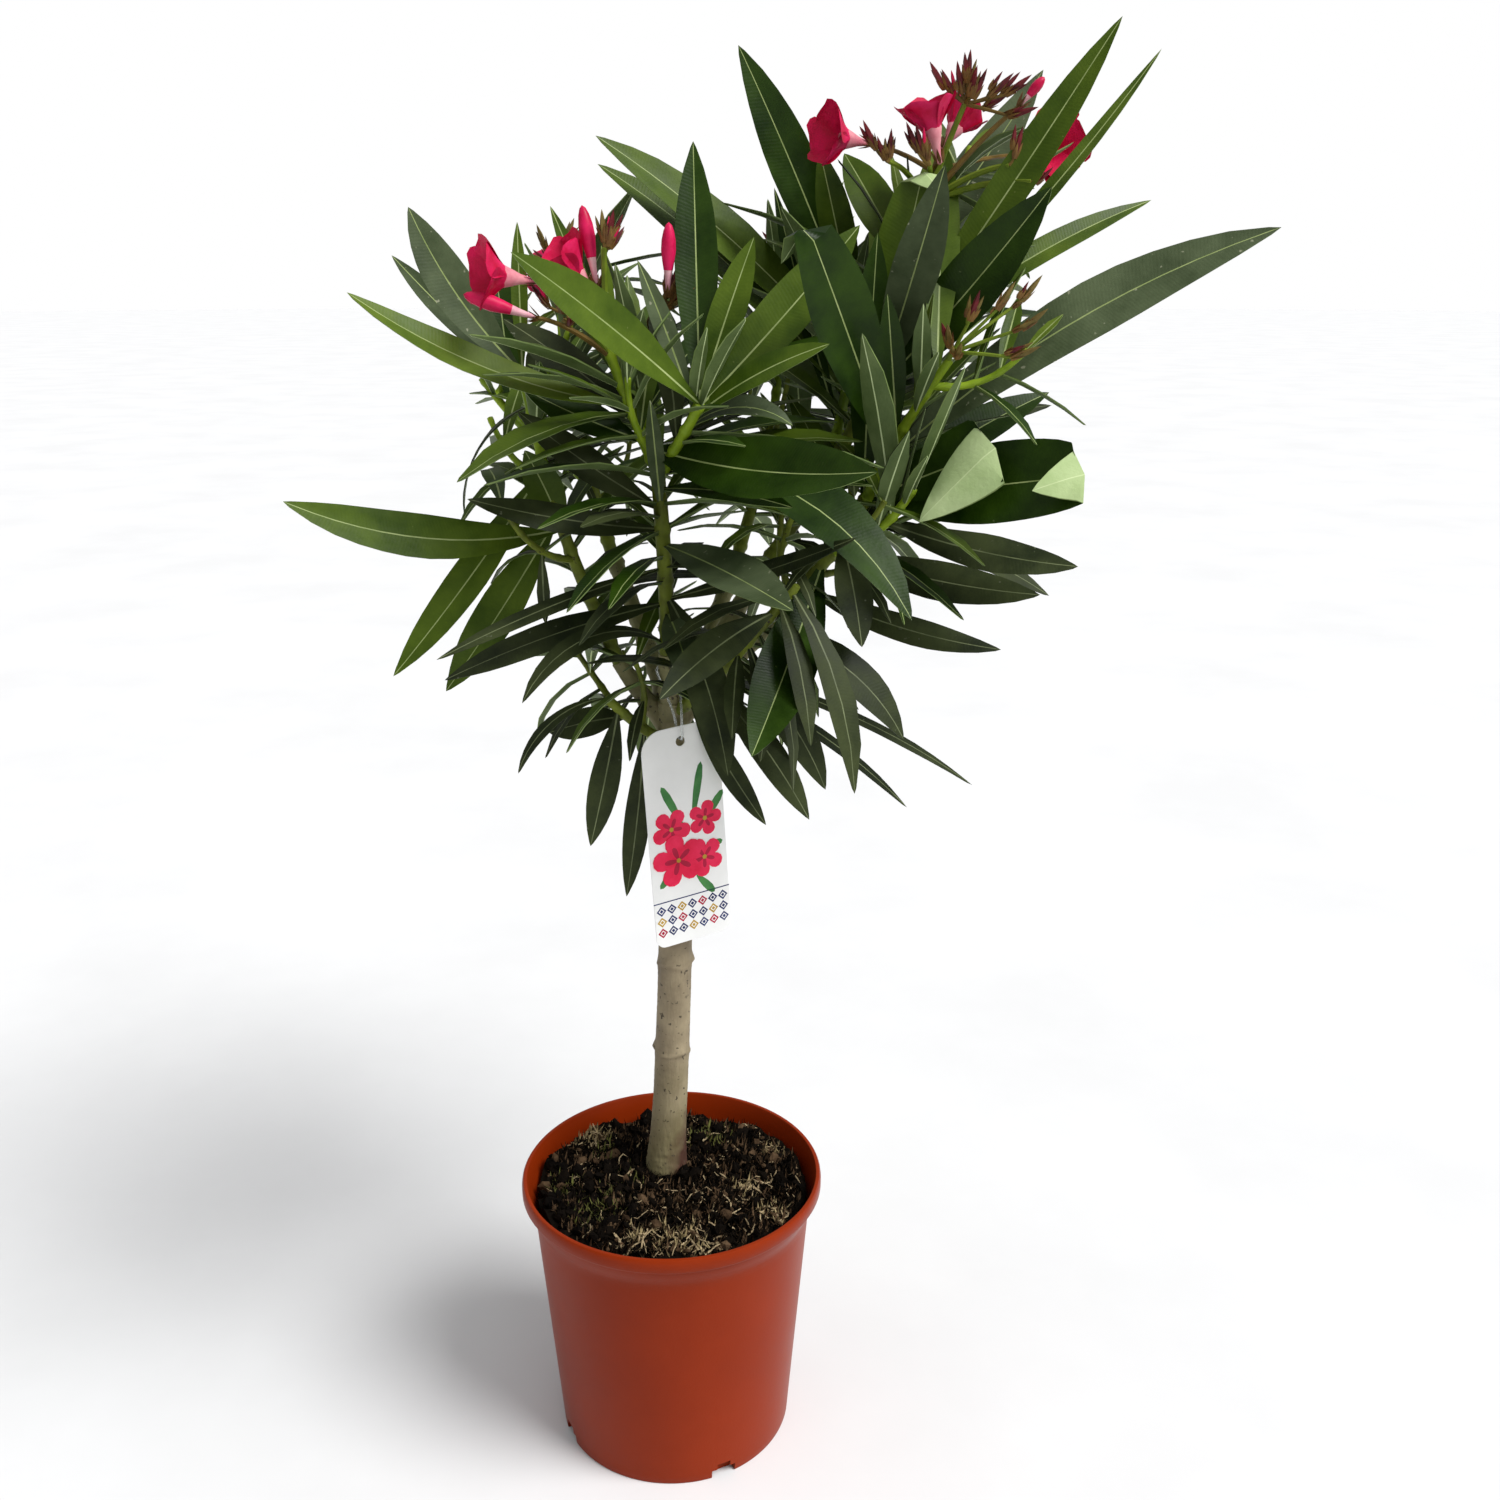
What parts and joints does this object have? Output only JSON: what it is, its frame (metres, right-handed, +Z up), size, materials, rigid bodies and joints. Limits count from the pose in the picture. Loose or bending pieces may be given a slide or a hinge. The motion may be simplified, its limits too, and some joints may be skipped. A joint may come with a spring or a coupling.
{
  "type": "potted oleander",
  "caption": "Small standard oleander in a filled round plastic pot: a bare stem, boughs with whorls of narrow leaves and clusters of crimson blossom, and a hanging picture label.",
  "frame": {"origin": "centre of the pot's flat underside", "axes": "+Z up along the stem, -Y towards the front of the plant, where the label hangs, +X to the right"},
  "size_m": [0.509, 0.3836, 0.847],
  "materials": {
    "pot": "smooth moulded terracotta-coloured plastic, slight sheen",
    "soil": "dark coarse moist peat with straw fibres and moss",
    "bark": "smooth matt grey-brown bark with leaf-scar rings",
    "green_wood": "smooth green young bark, satin",
    "foliage": "leathery dark green leaves with pale midribs, satin",
    "label": "thin printed plastic card, semi-gloss",
    "tie": "clear plastic loop"
  },
  "bodies": {
    "root": {"pot": "pot", "soil": "soil", "trunk": "bark", "bough_centre": "green_wood", "bough_right": "green_wood", "bough_top": "green_wood", "bough_left": "green_wood", "bough_back_left": "green_wood", "bough_back_right": "green_wood", "label": "label", "label_tie": "tie", "leaves_centre": "foliage", "leaves_left": "foliage", "leaves_right": "foliage", "leaves_top": "foliage", "leaves_back_left": "foliage", "leaves_back_right": "foliage", "leaves_skirt_left": "foliage", "leaves_skirt_right": "foliage", "leaves_skirt_back": "foliage"}
  },
  "joints": []
}
